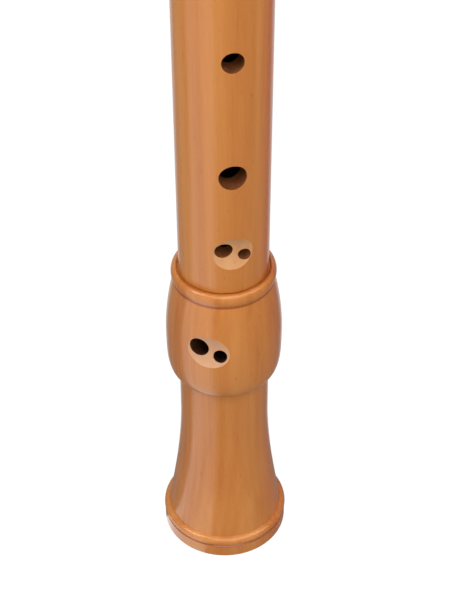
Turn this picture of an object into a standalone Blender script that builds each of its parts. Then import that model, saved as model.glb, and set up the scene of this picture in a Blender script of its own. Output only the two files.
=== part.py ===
"""Alto recorder in F, three turned joints, with double holes for the two lowest semitones.

All sizes are in metres. The frame's origin is the centre of the foot's end face, +Z runs up the
bore to the beak, and the finger holes and the window face -Y. Every joint is a body of revolution
about Z, modelled upward from its own lower shoulder and then lifted to its place.
"""
import math

import bmesh
import bpy

# Fits between pieces
CLEARANCE = 0.0003  # play between any two faces that touch on the real instrument

# Bore, from the foot up
FOOT_BORE_END_RADIUS = 0.0073
FOOT_BORE_TOP_RADIUS = 0.0076
MIDDLE_BORE_LOWER_RADIUS = 0.00775
MIDDLE_BORE_UPPER_RADIUS = 0.0096
HEAD_BORE_RADIUS = 0.0099

# Foot joint, lengths stacked from the floor up
BAND_HEIGHT = 0.0048
BAND_ROUND = 0.0005
END_GROOVE_WIDTH = 0.0006
END_GROOVE_DEPTH = 0.0007
END_BEAD_HEIGHT = 0.0029
END_BEAD_CREST = 0.0009  # the bead is widest this far above its groove
FLARE_LENGTH = 0.0449
NECK_LENGTH = 0.0193
FOOT_BARREL_END_LENGTH = 0.0160
FOOT_BARREL_RISE_LENGTH = 0.0211
BORE_MOUTH_CHAMFER = 0.0008

# Foot joint, radii
BAND_STEP = 0.00015  # the band lies this much inside the bead above it
END_BEAD_PROUD = 0.00175
FLARE_END_RADIUS = 0.01927
NECK_RADIUS = 0.0144
FOOT_BARREL_RADIUS = 0.01845

# Turned forms that the foot and the head share
RIM_BEAD_HEIGHT = 0.0045
RIM_BEAD_PROUD = 0.00242
RIM_GROOVE_DEPTH = 0.0005
RIM_GROOVE_ANGLE = -75  # degrees round the bead at which it ends in its groove
RIM_SEAT_DEPTH = 0.00065  # the tube's shoulder sits this deep behind the bead's crest
FLARE_POWER = 1.69
BARREL_RISE_POWER = 1.81
BARREL_END_POWER = 3.5

# Middle joint
MIDDLE_LENGTH = 0.2162  # between its two shoulders
LOWER_WALL = 0.00625
UPPER_WALL = 0.00507
SHOULDER_CHAMFER = 0.0002

# Tenons, lengths stacked from the tenon's end to its shoulder
LOWER_TENON_END = 0.0026
LOWER_CORK_LENGTH = 0.0088
LOWER_TENON_ROOT = 0.0030
LOWER_TENON_WALL = 0.0022
UPPER_TENON_END = 0.0032
UPPER_CORK_LENGTH = 0.0180
UPPER_TENON_ROOT = 0.0042
UPPER_TENON_WALL = 0.0016
TENON_CHAMFER = 0.0006
CORK_THICKNESS = 0.0009
CORK_ROUND = 0.0003
LAND_STEP = 0.0003  # the bare wood of a tenon lies this much inside its cork

# Single finger holes: distance from the nearer shoulder of the middle joint, and radius
HOLE_1_DROP = 0.0295
HOLE_1_RADIUS = 0.0030
HOLE_2_DROP = 0.0630
HOLE_2_RADIUS = 0.0033
HOLE_3_DROP = 0.0970
HOLE_3_RADIUS = 0.0034
THUMB_HOLE_DROP = 0.0210
THUMB_HOLE_RADIUS = 0.0033
HOLE_4_RISE = 0.0817
HOLE_4_RADIUS = 0.00325
HOLE_5_RISE = 0.0433
HOLE_5_RADIUS = 0.00415

# Double hole 6 in the middle joint, and double hole 7 in the foot
HOLE_6_RISE = 0.0150  # middle of the pair, above the lower shoulder
HOLE_6_TURN = math.radians(2.3)  # towards +X from the line of the other holes
HOLE_6_LARGE_RADIUS = 0.00272
HOLE_6_SMALL_RADIUS = 0.00188
HOLE_6_BRIDGE = 0.0020  # wood left between the two holes
HOLE_7_DROP = 0.0062  # middle of the pair, below the socket's floor
HOLE_7_LARGE_RADIUS = 0.0030
HOLE_7_SMALL_RADIUS = 0.0022
HOLE_7_BRIDGE = 0.0019
HOLE_7_SLANT = math.radians(28)  # drilled downward, so that the bore is met lower than the finger
PAIR_TILT = math.radians(21)  # the small hole lies lower, where the finger rolls to
FOOT_TURN = math.radians(26.5)  # the foot is turned for the right little finger

# Hollows of the double holes, each worked by hand with a drum sander
HOLLOW_6_LIFT = 0.0002  # middle of the hollow, above the middle of the pair
HOLLOW_6_TURN = math.radians(-1.8)  # and this far towards -X from it
HOLLOW_6_DEPTH = 0.00137
HOLLOW_6_DRUM_RADIUS = 0.0131
HOLLOW_6_TILT = math.radians(-1.5)
HOLLOW_7_LIFT = 0.0014
HOLLOW_7_TURN = math.radians(-1.3)
HOLLOW_7_DEPTH = 0.00125
HOLLOW_7_DRUM_RADIUS = 0.0169
HOLLOW_7_TILT = math.radians(3)

# Head joint, lengths stacked from its seat up
HEAD_BARREL_RISE_LENGTH = 0.0177
HEAD_BARREL_END_LENGTH = 0.0130
HEAD_BODY_LENGTH = 0.1300  # from the barrel to the tip of the beak
HEAD_WAIST_LENGTH = 0.0380  # stretch of that over which the waist widens to the full body

# Head joint, radii
HEAD_BARREL_RADIUS = 0.0181
HEAD_WALL = 0.0060
HEAD_WAIST_WALL = 0.0051
TIP_TAPER = 0.0015
TIP_ROUND = 0.0020

# Beak
BEAK_LENGTH = 0.0450
BEAK_TIP_THICKNESS = 0.0125
BEAK_CURVE_RADIUS = 0.0560

# Block, windway and voicing
BLOCK_LENGTH = 0.0600
BLOCK_TAPER = 0.00025  # gain in radius, so that the block only leaves through the top
BLOCK_CHAMFER = 0.0005
WINDWAY_EXIT_WIDTH = 0.0115
WINDWAY_MOUTH_WIDTH = 0.0134
WINDWAY_EXIT_HEIGHT = 0.0009
WINDWAY_MOUTH_HEIGHT = 0.0014
WINDWAY_FLOOR_DEPTH = 0.0003
FLOOR_CHAMFER = 0.0007
ROOF_CHAMFER = 0.0004
WINDOW_LENGTH = 0.0042
LABIUM_EDGE = 0.00035
RAMP_LENGTH = 0.0220
RAMP_CROWN_RADIUS = 0.0300  # the ramp's arch where it runs out, flatter than at its edge

# Cutters reach this far past what they cut
OVERCUT = 0.0010

# Smoothness
TURNING_SEGMENTS = 48
HOLE_SEGMENTS = 24
RECESS_SEGMENTS = 96
BEAK_SEGMENTS = 144
ARC_SEGMENTS = 10
BARREL_RISE_STEPS = 6
BARREL_END_STEPS = 8
RIM_BEAD_STEPS = 5
RIM_INNER_STEPS = 3
END_BEAD_STEPS = 4
FLARE_STEPS = 8
WAIST_STEPS = 5
TIP_ROUND_STEPS = 4
MERGE_DISTANCE = 1e-6
SMOOTH_ANGLE = math.radians(32)

# Heights in the foot joint, above the floor
END_GROOVE_Z = BAND_HEIGHT
END_BEAD_Z = END_GROOVE_Z + END_GROOVE_WIDTH
FLARE_Z = END_BEAD_Z + END_BEAD_HEIGHT
NECK_Z = FLARE_Z + FLARE_LENGTH
FOOT_BARREL_Z = NECK_Z + NECK_LENGTH
FOOT_SWELL_Z = FOOT_BARREL_Z + FOOT_BARREL_END_LENGTH
FOOT_RIM_Z = FOOT_SWELL_Z + FOOT_BARREL_RISE_LENGTH
FOOT_TOP_Z = FOOT_RIM_Z + RIM_BEAD_HEIGHT
FOOT_SEAT_Z = FOOT_TOP_Z - RIM_SEAT_DEPTH

# Radii and lengths that the fits fix, lower tenon
LOWER_REBATE_RADIUS = MIDDLE_BORE_LOWER_RADIUS + LOWER_TENON_WALL
LOWER_CORK_RADIUS = LOWER_REBATE_RADIUS + CLEARANCE + CORK_THICKNESS
FOOT_SOCKET_RADIUS = LOWER_CORK_RADIUS + CLEARANCE
LOWER_TENON_LENGTH = LOWER_TENON_END + LOWER_CORK_LENGTH + 2 * CLEARANCE + LOWER_TENON_ROOT
FOOT_SOCKET_FLOOR_Z = FOOT_SEAT_Z - LOWER_TENON_LENGTH

# The same for the upper tenon
UPPER_REBATE_RADIUS = MIDDLE_BORE_UPPER_RADIUS + UPPER_TENON_WALL
UPPER_CORK_RADIUS = UPPER_REBATE_RADIUS + CLEARANCE + CORK_THICKNESS
HEAD_SOCKET_RADIUS = UPPER_CORK_RADIUS + CLEARANCE
UPPER_TENON_LENGTH = UPPER_TENON_END + UPPER_CORK_LENGTH + 2 * CLEARANCE + UPPER_TENON_ROOT

# Outer radii of the tube and of the head
TUBE_LOWER_RADIUS = MIDDLE_BORE_LOWER_RADIUS + LOWER_WALL
TUBE_UPPER_RADIUS = MIDDLE_BORE_UPPER_RADIUS + UPPER_WALL
HEAD_RADIUS = HEAD_BORE_RADIUS + HEAD_WALL
HEAD_WAIST_RADIUS = HEAD_BORE_RADIUS + HEAD_WAIST_WALL
TIP_RADIUS = HEAD_RADIUS - TIP_TAPER

# Heights in the head, above its seat
HEAD_CREST_Z = RIM_BEAD_HEIGHT - RIM_SEAT_DEPTH
HEAD_SWELL_Z = HEAD_CREST_Z + HEAD_BARREL_RISE_LENGTH
HEAD_WAIST_Z = HEAD_SWELL_Z + HEAD_BARREL_END_LENGTH
HEAD_BODY_Z = HEAD_WAIST_Z + HEAD_WAIST_LENGTH
TIP_Z = HEAD_WAIST_Z + HEAD_BODY_LENGTH
BLOCK_LINE_Z = TIP_Z - BLOCK_LENGTH
LABIUM_Z = BLOCK_LINE_Z - WINDOW_LENGTH
BORE_TIP_RADIUS = HEAD_BORE_RADIUS + BLOCK_TAPER

# Where the joints stand, above the floor
MIDDLE_HEIGHT = FOOT_SEAT_Z + CLEARANCE
HEAD_HEIGHT = MIDDLE_HEIGHT + MIDDLE_LENGTH + CLEARANCE


def lerp(a, b, t):
    """Straight mix of two values."""
    return a + (b - a) * t


def quarter_steps(count):
    """Values from 0 to 1 that crowd towards 1, as along a quarter circle."""
    return [math.sin(math.pi / 2 * i / count) for i in range(count + 1)]


def round_off(centre_radius, centre_z, width, height, start, end, steps):
    """Points of an elliptical arc between two angles, without the point that it starts from."""
    points = []
    for i in range(1, steps + 1):
        angle = math.radians(lerp(start, end, i / steps))
        points.append((centre_radius + width * math.cos(angle), centre_z + height * math.sin(angle)))
    return points


def barrel_rise(rim_radius, swell_radius, rim_z, swell_z):
    """Outline from the groove at the rim out to the barrel's widest ring."""
    points = []
    for i in range(BARREL_RISE_STEPS):
        t = i / BARREL_RISE_STEPS
        radius = swell_radius - (swell_radius - rim_radius) * (1 - t) ** BARREL_RISE_POWER
        points.append((radius, lerp(rim_z, swell_z, t)))
    return points


def barrel_end(swell_radius, neck_radius, swell_z, neck_z):
    """Outline from the widest ring, round the barrel's blunt end, in to the neck."""
    points = []
    for s in quarter_steps(BARREL_END_STEPS):
        share = max(0.0, 1 - s ** BARREL_END_POWER) ** (1 / BARREL_END_POWER)
        points.append((lerp(neck_radius, swell_radius, share), lerp(swell_z, neck_z, s)))
    return points


def barrel_radius_at(z):
    """Radius of the foot's barrel at height z, for placing cuts on its surface."""
    if z > FOOT_SWELL_Z:
        rim_radius = TUBE_LOWER_RADIUS + RIM_BEAD_PROUD - RIM_GROOVE_DEPTH
        rest = (z - FOOT_SWELL_Z) / FOOT_BARREL_RISE_LENGTH
        return FOOT_BARREL_RADIUS - (FOOT_BARREL_RADIUS - rim_radius) * rest ** BARREL_RISE_POWER
    s = (FOOT_SWELL_Z - z) / FOOT_BARREL_END_LENGTH
    share = max(0.0, 1 - s ** BARREL_END_POWER) ** (1 / BARREL_END_POWER)
    return lerp(NECK_RADIUS, FOOT_BARREL_RADIUS, share)


def tube_radius_at(z):
    """Outer radius of the middle joint at height z above its lower shoulder."""
    return lerp(TUBE_LOWER_RADIUS, TUBE_UPPER_RADIUS, z / MIDDLE_LENGTH)


def rim_bead(tube_radius, seat_z, toward):
    """Outline of the round bead at a socket's mouth, from its groove in to the tube and the seat.

    toward is +1 where the socket opens upward, as on the foot, and -1 on the head.
    """
    inner = tube_radius + CLEARANCE
    outer = tube_radius + RIM_BEAD_PROUD
    crest = (inner + outer) / 2
    half_width = (outer - inner) / 2
    height = toward * RIM_BEAD_HEIGHT / 2
    depth = toward * RIM_SEAT_DEPTH
    middle_z = seat_z + depth - height
    points = [(outer - RIM_GROOVE_DEPTH, middle_z - height)]
    points += round_off(crest, middle_z, half_width, height, RIM_GROOVE_ANGLE, 90, RIM_BEAD_STEPS)
    points += round_off(crest, seat_z, half_width, depth, 90, 180, RIM_INNER_STEPS)
    return points


def foot_outline():
    """Closed outline of the foot joint, down the outside and back up the bore."""
    bead_radius = FLARE_END_RADIUS + END_BEAD_PROUD
    band_radius = bead_radius - BAND_STEP
    rim = rim_bead(TUBE_LOWER_RADIUS, FOOT_SEAT_Z, 1)
    outline = list(reversed(rim))
    outline += barrel_rise(rim[0][0], FOOT_BARREL_RADIUS, FOOT_RIM_Z, FOOT_SWELL_Z)[1:]
    outline += barrel_end(FOOT_BARREL_RADIUS, NECK_RADIUS, FOOT_SWELL_Z, FOOT_BARREL_Z)
    for i in range(FLARE_STEPS + 1):
        t = i / FLARE_STEPS
        radius = NECK_RADIUS + (FLARE_END_RADIUS - NECK_RADIUS) * t ** FLARE_POWER
        outline.append((radius, lerp(NECK_Z, FLARE_Z, t)))
    crest_z = END_BEAD_Z + END_BEAD_CREST
    groove_radius = bead_radius - END_GROOVE_DEPTH
    outline += round_off(
        FLARE_END_RADIUS, crest_z, END_BEAD_PROUD, FLARE_Z - crest_z, 90, 0, END_BEAD_STEPS,
    )
    outline += round_off(
        groove_radius, crest_z, END_GROOVE_DEPTH, END_BEAD_CREST, 0, -90, END_BEAD_STEPS,
    )
    outline.append((band_radius, END_GROOVE_Z))
    outline.append((band_radius, BAND_ROUND))
    outline.append((band_radius - BAND_ROUND, 0.0))
    outline.append((FOOT_BORE_END_RADIUS + BORE_MOUTH_CHAMFER, 0.0))
    outline.append((FOOT_BORE_END_RADIUS, BORE_MOUTH_CHAMFER))
    outline.append((FOOT_BORE_TOP_RADIUS, FOOT_SOCKET_FLOOR_Z))
    outline.append((FOOT_SOCKET_RADIUS, FOOT_SOCKET_FLOOR_Z))
    outline.append((FOOT_SOCKET_RADIUS, FOOT_SEAT_Z))
    return outline


def tenon_outline(root_radius, bore_radius, end_land, cork_length, root_land, shoulder_z, toward):
    """Outline of a tenon with its cork rebate, from the shoulder to the bore.

    toward is +1 for the tenon that points up and -1 for the one that points down.
    """
    rebate_radius = root_radius
    land_radius = rebate_radius + CLEARANCE + CORK_THICKNESS - LAND_STEP
    rebate_start = shoulder_z + toward * root_land
    rebate_end = rebate_start + toward * (cork_length + 2 * CLEARANCE)
    end = rebate_end + toward * end_land
    return [
        (land_radius, shoulder_z),
        (land_radius, rebate_start),
        (rebate_radius, rebate_start),
        (rebate_radius, rebate_end),
        (land_radius, rebate_end),
        (land_radius, end - toward * TENON_CHAMFER),
        (land_radius - TENON_CHAMFER, end),
        (bore_radius, end),
    ]


def middle_outline():
    """Closed outline of the middle joint, up the outside and back down the bore."""
    lower = tenon_outline(
        LOWER_REBATE_RADIUS, MIDDLE_BORE_LOWER_RADIUS,
        LOWER_TENON_END, LOWER_CORK_LENGTH, LOWER_TENON_ROOT, 0.0, -1,
    )
    upper = tenon_outline(
        UPPER_REBATE_RADIUS, MIDDLE_BORE_UPPER_RADIUS,
        UPPER_TENON_END, UPPER_CORK_LENGTH, UPPER_TENON_ROOT, MIDDLE_LENGTH, 1,
    )
    outline = list(reversed(lower))
    outline.append((TUBE_LOWER_RADIUS - SHOULDER_CHAMFER, 0.0))
    outline.append((TUBE_LOWER_RADIUS, SHOULDER_CHAMFER))
    outline.append((TUBE_UPPER_RADIUS, MIDDLE_LENGTH - SHOULDER_CHAMFER))
    outline.append((TUBE_UPPER_RADIUS - SHOULDER_CHAMFER, MIDDLE_LENGTH))
    return outline + upper


def head_outline():
    """Closed outline of the head before its beak is cut, up the outside and back down the bore."""
    rim = rim_bead(TUBE_UPPER_RADIUS, 0.0, -1)
    outline = list(reversed(rim))
    outline += barrel_rise(rim[0][0], HEAD_BARREL_RADIUS, HEAD_CREST_Z, HEAD_SWELL_Z)[1:]
    outline += barrel_end(HEAD_BARREL_RADIUS, HEAD_WAIST_RADIUS, HEAD_SWELL_Z, HEAD_WAIST_Z)
    for i in range(1, WAIST_STEPS + 1):
        t = i / WAIST_STEPS
        ease = t * t * (3 - 2 * t)
        radius = lerp(HEAD_WAIST_RADIUS, HEAD_RADIUS, ease)
        outline.append((radius, lerp(HEAD_WAIST_Z, HEAD_BODY_Z, t)))
    outline.append((HEAD_RADIUS, TIP_Z - BEAK_LENGTH))
    for i in range(TIP_ROUND_STEPS + 1):
        angle = math.pi / 2 * i / TIP_ROUND_STEPS
        radius = TIP_RADIUS - TIP_ROUND * (1 - math.cos(angle))
        outline.append((radius, TIP_Z - TIP_ROUND * (1 - math.sin(angle))))
    outline.append((BORE_TIP_RADIUS, TIP_Z))
    outline.append((HEAD_BORE_RADIUS, BLOCK_LINE_Z))
    outline.append((HEAD_BORE_RADIUS, UPPER_TENON_LENGTH))
    outline.append((HEAD_SOCKET_RADIUS, UPPER_TENON_LENGTH))
    outline.append((HEAD_SOCKET_RADIUS, 0.0))
    return outline


def cork_outline(rebate_radius, length):
    """Closed outline of one cork lapping, standing on its lower end."""
    inner = rebate_radius + CLEARANCE
    outer = inner + CORK_THICKNESS
    return [
        (inner, 0.0),
        (outer - CORK_ROUND, 0.0),
        (outer, CORK_ROUND),
        (outer, length - CORK_ROUND),
        (outer - CORK_ROUND, length),
        (inner, length),
    ]


def block_outline():
    """Outline of the block from the axis at its lower face to the axis at its top."""
    lower_radius = HEAD_BORE_RADIUS - CLEARANCE
    upper_radius = BORE_TIP_RADIUS - CLEARANCE
    return [
        (0.0, 0.0),
        (lower_radius - BLOCK_CHAMFER, 0.0),
        (lower_radius, BLOCK_CHAMFER),
        (upper_radius, BLOCK_LENGTH),
        (0.0, BLOCK_LENGTH),
    ]


def wood(name, colour, roughness):
    """Plain material of one piece."""
    material = bpy.data.materials.new(name)
    material.use_nodes = True
    shader = material.node_tree.nodes["Principled BSDF"]
    shader.inputs["Base Color"].default_value = (*colour, 1.0)
    shader.inputs["Roughness"].default_value = roughness
    shader.inputs["Metallic"].default_value = 0.0
    return material


def add_object(name, bm, material=None):
    """Turn a bmesh into an object with outward faces and smooth shading."""
    bmesh.ops.recalc_face_normals(bm, faces=bm.faces)
    mesh = bpy.data.meshes.new(name)
    bm.to_mesh(mesh)
    bm.free()
    mesh.shade_smooth()
    mesh.set_sharp_from_angle(angle=SMOOTH_ANGLE)
    if material is not None:
        mesh.materials.append(material)
    piece = bpy.data.objects.new(name, mesh)
    bpy.context.scene.collection.objects.link(piece)
    return piece


def turn(name, outline, material, closed=True):
    """Turn an outline of radius and height round Z, as on a lathe."""
    bm = bmesh.new()
    verts = [bm.verts.new((radius, 0.0, z)) for radius, z in outline]
    edges = [bm.edges.new(pair) for pair in zip(verts, verts[1:])]
    if closed:
        edges.append(bm.edges.new((verts[-1], verts[0])))
    bmesh.ops.spin(
        bm, geom=verts + edges, cent=(0, 0, 0), axis=(0, 0, 1), angle=math.tau,
        steps=TURNING_SEGMENTS, use_merge=True,
    )
    bmesh.ops.remove_doubles(bm, verts=bm.verts, dist=MERGE_DISTANCE)
    return add_object(name, bm, material)


def cut(piece, cutter):
    """Subtract a cutter, which moves with the first piece that it cuts."""
    cutter.hide_render = True
    cutter.display_type = "WIRE"
    if cutter.parent is None:
        cutter.parent = piece
    boolean = piece.modifiers.new(cutter.name, "BOOLEAN")
    boolean.operation = "DIFFERENCE"
    boolean.solver = "EXACT"
    boolean.object = cutter


def finish(pieces):
    """Make the cuts final, clear the cutters away and shade smooth up to the real edges."""
    depsgraph = bpy.context.evaluated_depsgraph_get()
    meshes = [bpy.data.meshes.new_from_object(piece.evaluated_get(depsgraph)) for piece in pieces]
    for piece, mesh in zip(pieces, meshes):
        piece.modifiers.clear()
        piece.data = mesh
        mesh.name = piece.name
        mesh.shade_smooth()
        mesh.set_sharp_from_angle(angle=SMOOTH_ANGLE)
    for item in list(bpy.data.objects):
        if item.display_type == "WIRE":
            bpy.data.objects.remove(item, do_unlink=True)


def drill(piece, name, radius, surface_radius, z, azimuth=0.0, slant=0.0):
    """Drill one hole from the outside to the bore.

    azimuth turns the hole round the tube from -Y towards +X, and slant leans it downward
    about the point where it enters the surface.
    """
    depth = surface_radius / math.cos(slant)
    bm = bmesh.new()
    bmesh.ops.create_cone(
        bm, cap_ends=True, segments=HOLE_SEGMENTS, radius1=radius, radius2=radius,
        depth=depth + 2 * radius + OVERCUT,
    )
    bmesh.ops.translate(bm, verts=bm.verts, vec=(0, 0, (depth - 2 * radius - OVERCUT) / 2))
    cutter = add_object(name, bm)
    cutter.rotation_euler = (-math.pi / 2 - slant, 0, azimuth)
    cutter.location = (surface_radius * math.sin(azimuth), -surface_radius * math.cos(azimuth), z)
    cut(piece, cutter)


def scoop(piece, name, floor_radius, azimuth, z, drum_radius, tilt):
    """Cut the finger-tip hollow of a double hole: flat across, concave along the tube.

    floor_radius is how far the hollow's lowest line lies from the bore's axis, azimuth turns it
    round the tube as it does a hole, and tilt turns that line clockwise as the player sees it.
    """
    bm = bmesh.new()
    bmesh.ops.create_cone(
        bm, cap_ends=True, segments=RECESS_SEGMENTS, radius1=drum_radius, radius2=drum_radius,
        depth=2 * (floor_radius + drum_radius),
    )
    away = floor_radius + drum_radius
    cutter = add_object(name, bm)
    cutter.rotation_euler = (0, math.pi / 2 + tilt, azimuth)
    cutter.location = (away * math.sin(azimuth), -away * math.cos(azimuth), z)
    cut(piece, cutter)


def drill_pair(piece, name, floor_radius, azimuth, z, large, small, bridge, slant=0.0):
    """Drill a double hole in its hollow: the large hole, and the small one lower to the right."""
    spread = large + small + bridge
    half_arc = spread * math.cos(PAIR_TILT) / 2 / floor_radius
    half_drop = spread * math.sin(PAIR_TILT) / 2
    drill(piece, name + "_large", large, floor_radius, z + half_drop, azimuth - half_arc, slant)
    drill(piece, name + "_small", small, floor_radius, z - half_drop, azimuth + half_arc, slant)


def arc_row(radius, half_width, crown_radius=None):
    """Points of an arch across the front of the bore, from -X to +X.

    The arch's middle lies at radius from the bore's axis. Without a crown radius it is
    concentric with the bore.
    """
    crown = crown_radius or radius
    centre_y = crown - radius
    points = []
    for i in range(ARC_SEGMENTS + 1):
        x = lerp(-half_width, half_width, i / ARC_SEGMENTS)
        points.append((x, centre_y - math.sqrt(crown * crown - x * x)))
    return points


def loft(name, stations):
    """Skin a closed body over cross-sections, each a height and its outline points."""
    bm = bmesh.new()
    rings = []
    for z, points in stations:
        verts = [bm.verts.new((x, y, z)) for x, y in points]
        edges = [bm.edges.new((verts[i - 1], verts[i])) for i in range(len(verts))]
        rings.append(edges)
    for lower, upper in zip(rings, rings[1:]):
        bmesh.ops.bridge_loops(bm, edges=lower + upper)
    bmesh.ops.contextual_create(bm, geom=rings[0])
    bmesh.ops.contextual_create(bm, geom=rings[-1])
    return add_object(name, bm)


def windway_section(roof_radius, half_width):
    """Cross-section under the windway's roof, reaching down into the bore."""
    inside = half_width / 2
    return arc_row(roof_radius, half_width) + [(half_width, -inside), (-half_width, -inside)]


def outer_section(floor_radius, half_width, crown_radius=None):
    """Cross-section of everything outside a floor arch, reaching past the head's surface."""
    past = HEAD_RADIUS + HEAD_WALL
    return arc_row(floor_radius, half_width, crown_radius) + [(half_width, -past), (-half_width, -past)]


def windway_cutter():
    """Windway roof, broached up through the head, with a chamfer at its exit."""
    exit_radius = HEAD_BORE_RADIUS + WINDWAY_EXIT_HEIGHT
    mouth_radius = BORE_TIP_RADIUS + WINDWAY_MOUTH_HEIGHT
    exit_half = WINDWAY_EXIT_WIDTH / 2
    mouth_half = WINDWAY_MOUTH_WIDTH / 2
    return loft("windway_cutter", [
        (BLOCK_LINE_Z - OVERCUT, windway_section(exit_radius + ROOF_CHAMFER + OVERCUT, exit_half)),
        (BLOCK_LINE_Z + ROOF_CHAMFER, windway_section(exit_radius, exit_half)),
        (TIP_Z + OVERCUT, windway_section(mouth_radius, mouth_half)),
    ])


def window_cutter():
    """Window through the wall into the bore, between the labium's edge and the block line."""
    half = WINDWAY_EXIT_WIDTH / 2
    section = outer_section(half, half)
    return loft("window_cutter", [(LABIUM_Z, section), (BLOCK_LINE_Z, section)])


def ramp_cutter():
    """Labium ramp, falling from its thin arched edge out to the head's surface."""
    half = WINDWAY_EXIT_WIDTH / 2
    edge_radius = HEAD_BORE_RADIUS + LABIUM_EDGE
    slope = (HEAD_RADIUS - edge_radius) / RAMP_LENGTH
    run_out = HEAD_RADIUS + slope * OVERCUT
    section_edge = outer_section(edge_radius, half)
    section_end = outer_section(run_out, half, RAMP_CROWN_RADIUS)
    return loft("ramp_cutter", [
        (LABIUM_Z - RAMP_LENGTH - OVERCUT, section_end),
        (LABIUM_Z, section_edge),
        (BLOCK_LINE_Z, section_edge),
    ])


def floor_cutter():
    """Windway floor planed on the block, with the chamfer that sits at the block line."""
    floor_radius = HEAD_BORE_RADIUS - CLEARANCE - WINDWAY_FLOOR_DEPTH
    mouth_radius = BORE_TIP_RADIUS - CLEARANCE - WINDWAY_FLOOR_DEPTH
    exit_half = WINDWAY_EXIT_WIDTH / 2
    mouth_half = WINDWAY_MOUTH_WIDTH / 2
    return loft("windway_floor_cutter", [
        (-OVERCUT, outer_section(floor_radius - FLOOR_CHAMFER - OVERCUT, exit_half)),
        (FLOOR_CHAMFER, outer_section(floor_radius, exit_half)),
        (BLOCK_LENGTH + OVERCUT, outer_section(mouth_radius, mouth_half)),
    ])


def beak_cutter():
    """Roller that hollows the beak's underside through the back of the head and the block."""
    back_y = HEAD_RADIUS
    back_z = TIP_Z - BEAK_LENGTH
    tip_y = BEAK_TIP_THICKNESS - TIP_RADIUS
    chord_y = back_y - tip_y
    half_chord = math.hypot(chord_y, BEAK_LENGTH) / 2
    lift = math.sqrt(BEAK_CURVE_RADIUS ** 2 - half_chord ** 2) / (2 * half_chord)
    centre_y = (back_y + tip_y) / 2 + BEAK_LENGTH * lift
    centre_z = (back_z + TIP_Z) / 2 + chord_y * lift
    bm = bmesh.new()
    bmesh.ops.create_cone(
        bm, cap_ends=True, segments=BEAK_SEGMENTS, radius1=BEAK_CURVE_RADIUS,
        radius2=BEAK_CURVE_RADIUS, depth=2 * (HEAD_RADIUS + HEAD_WALL),
    )
    cutter = add_object("beak_cutter", bm)
    cutter.rotation_euler = (0, math.pi / 2, 0)
    cutter.location = (0, centre_y, centre_z)
    return cutter


def make_foot(material):
    """Foot joint with its socket and double hole 7, turned for the little finger."""
    foot = turn("foot_joint", foot_outline(), material)
    hole_z = FOOT_SOCKET_FLOOR_Z - HOLE_7_DROP
    hollow_z = hole_z + HOLLOW_7_LIFT
    floor_radius = barrel_radius_at(hollow_z) - HOLLOW_7_DEPTH
    scoop(foot, "hollow_7", floor_radius, HOLLOW_7_TURN, hollow_z, HOLLOW_7_DRUM_RADIUS, HOLLOW_7_TILT)
    drill_pair(
        foot, "hole_7", floor_radius, 0.0, hole_z,
        HOLE_7_LARGE_RADIUS, HOLE_7_SMALL_RADIUS, HOLE_7_BRIDGE, HOLE_7_SLANT,
    )
    foot.rotation_euler.z = -FOOT_TURN
    return foot


def make_middle(material):
    """Middle joint with six finger holes and the thumb hole."""
    middle = turn("middle_joint", middle_outline(), material)
    middle.location.z = MIDDLE_HEIGHT
    upper = MIDDLE_LENGTH
    single_holes = (
        ("hole_1", upper - HOLE_1_DROP, HOLE_1_RADIUS, 0.0),
        ("hole_2", upper - HOLE_2_DROP, HOLE_2_RADIUS, 0.0),
        ("hole_3", upper - HOLE_3_DROP, HOLE_3_RADIUS, 0.0),
        ("hole_4", HOLE_4_RISE, HOLE_4_RADIUS, 0.0),
        ("hole_5", HOLE_5_RISE, HOLE_5_RADIUS, 0.0),
        ("thumb_hole", upper - THUMB_HOLE_DROP, THUMB_HOLE_RADIUS, math.pi),
    )
    for name, z, radius, azimuth in single_holes:
        drill(middle, name, radius, tube_radius_at(z), z, azimuth)
    hollow_z = HOLE_6_RISE + HOLLOW_6_LIFT
    floor_radius = tube_radius_at(hollow_z) - HOLLOW_6_DEPTH
    hollow_azimuth = HOLE_6_TURN + HOLLOW_6_TURN
    scoop(middle, "hollow_6", floor_radius, hollow_azimuth, hollow_z, HOLLOW_6_DRUM_RADIUS, HOLLOW_6_TILT)
    drill_pair(
        middle, "hole_6", floor_radius, HOLE_6_TURN, HOLE_6_RISE,
        HOLE_6_LARGE_RADIUS, HOLE_6_SMALL_RADIUS, HOLE_6_BRIDGE,
    )
    return middle


def make_cork(name, rebate_radius, length, lower_end_z, middle, material):
    """Cork lapping in its rebate, carried by the middle joint."""
    cork = turn(name, cork_outline(rebate_radius, length), material)
    cork.parent = middle
    cork.location.z = lower_end_z
    return cork


def make_head(material):
    """Head joint with windway, window, ramp and beak."""
    head = turn("head_joint", head_outline(), material)
    head.location.z = HEAD_HEIGHT
    cut(head, windway_cutter())
    cut(head, ramp_cutter())
    cut(head, window_cutter())
    return head


def make_block(head, material):
    """Block in the head's bore, flush with the beak."""
    block = turn("block", block_outline(), material, closed=False)
    block.parent = head
    block.location.z = BLOCK_LINE_Z
    cut(block, floor_cutter())
    return block


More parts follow.
